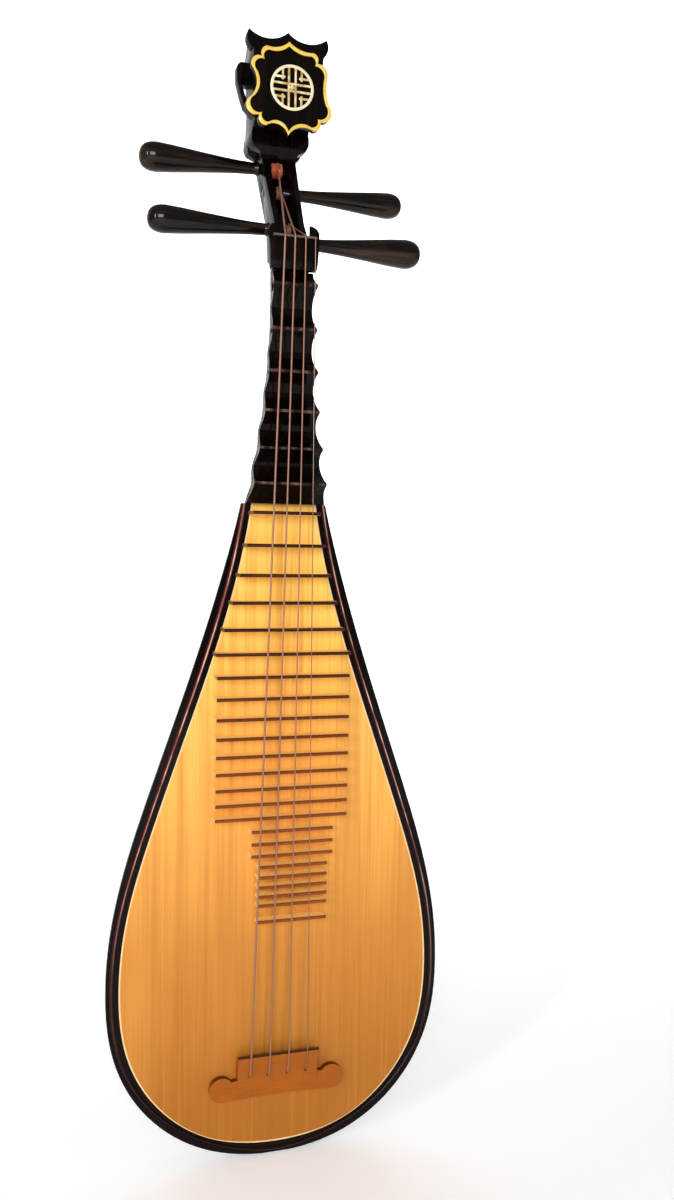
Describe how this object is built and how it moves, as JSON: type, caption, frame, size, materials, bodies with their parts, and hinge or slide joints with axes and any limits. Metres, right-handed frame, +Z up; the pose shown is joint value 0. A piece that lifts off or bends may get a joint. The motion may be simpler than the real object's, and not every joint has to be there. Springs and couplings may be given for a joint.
{
  "type": "pipa",
  "caption": "Upright four-string pear-shaped lute with a shallow body, carved neck frets, bamboo strip frets, long side tuning pegs and a scalloped head; played by plucking.",
  "frame": {"origin": "on the instrument's centre plane, in the soundboard's front plane, on the neck just below the nut block, where a wall hanger's fork takes the neck", "axes": "+Z runs up the strings from the body to the head, -Y is the side the soundboard and strings face, +X is on the right of someone looking at the soundboard"},
  "size_m": [0.308, 0.092, 1.0001],
  "materials": {
    "lacquered_wood": "black-brown lacquered hardwood, glossy",
    "peg_wood": "turned dark hardwood with brown grain, polished",
    "soundboard_wood": "light softwood with fine straight grain, satin",
    "purfling_line": "thin pale inlaid line, satin",
    "binding_wood": "red-brown hardwood strip, glossy",
    "raw_wood": "plain unfinished softwood",
    "bamboo": "bamboo strips with a brown skin edge, satin",
    "bridge_wood": "golden bamboo-like wood, satin",
    "dark_edge": "thin dark hard wood strip, polished",
    "nut_strip": "thin pale brown hard strip, polished",
    "wound_string": "nylon-wound steel string, pinkish cream",
    "plain_string": "thin plain steel string",
    "amber_winding": "orange silk-like thread wound round the shaft",
    "gilt_wood": "pale gold coating, satin gloss"
  },
  "bodies": {
    "instrument": {"back_shell": "lacquered_wood", "soundboard": "soundboard_wood", "purfling": "purfling_line", "edge_binding": "binding_wood", "sound_braces": "raw_wood", "sound_post": "raw_wood", "neck": "lacquered_wood", "nut_block": "lacquered_wood", "nut": "nut_strip", "block_fret_1": "lacquered_wood", "block_fret_2": "lacquered_wood", "block_fret_3": "lacquered_wood", "block_fret_4": "lacquered_wood", "block_fret_5": "lacquered_wood", "block_fret_6": "lacquered_wood", "strip_fret_01": "bamboo", "strip_fret_02": "bamboo", "strip_fret_03": "bamboo", "strip_fret_04": "bamboo", "strip_fret_05": "bamboo", "strip_fret_06": "bamboo", "strip_fret_07": "bamboo", "strip_fret_08": "bamboo", "strip_fret_09": "bamboo", "strip_fret_10": "bamboo", "strip_fret_11": "bamboo", "strip_fret_12": "bamboo", "strip_fret_13": "bamboo", "strip_fret_14": "bamboo", "strip_fret_15": "bamboo", "strip_fret_16": "bamboo", "strip_fret_17": "bamboo", "strip_fret_18": "bamboo", "strip_fret_19": "bamboo", "strip_fret_20": "bamboo", "strip_fret_21": "bamboo", "strip_fret_22": "bamboo", "strip_fret_23": "bamboo", "strip_fret_24": "bamboo", "pegbox": "lacquered_wood", "string_1": "wound_string", "string_2": "wound_string", "string_3": "wound_string", "string_4": "plain_string", "bridge": "bridge_wood", "bridge_edge": "dark_edge", "head_block": "lacquered_wood", "crest": "lacquered_wood", "shield_plate": "lacquered_wood", "shield_band": "gilt_wood", "medallion": "gilt_wood"},
    "tuning_peg_1": {"peg_1": "peg_wood", "winding_1": "plain_string"},
    "tuning_peg_2": {"peg_2": "peg_wood", "winding_2": "wound_string"},
    "tuning_peg_3": {"peg_3": "peg_wood", "winding_3": "wound_string"},
    "tuning_peg_4": {"peg_4": "peg_wood", "winding_4": "amber_winding"}
  },
  "joints": [
    {"name": "peg_turn_1", "type": "hinge", "parent": "instrument", "child": "tuning_peg_1", "pos_m": [0, -0.012, 0.0276], "axis": [1, 0, 0], "continuous": true},
    {"name": "peg_turn_2", "type": "hinge", "parent": "instrument", "child": "tuning_peg_2", "pos_m": [0, 0.0095, 0.043], "axis": [1, 0, 0], "continuous": true},
    {"name": "peg_turn_3", "type": "hinge", "parent": "instrument", "child": "tuning_peg_3", "pos_m": [0, 0.031, 0.0823], "axis": [1, 0, 0], "continuous": true},
    {"name": "peg_turn_4", "type": "hinge", "parent": "instrument", "child": "tuning_peg_4", "pos_m": [0, 0.042, 0.1055], "axis": [1, 0, 0], "continuous": true}
  ]
}
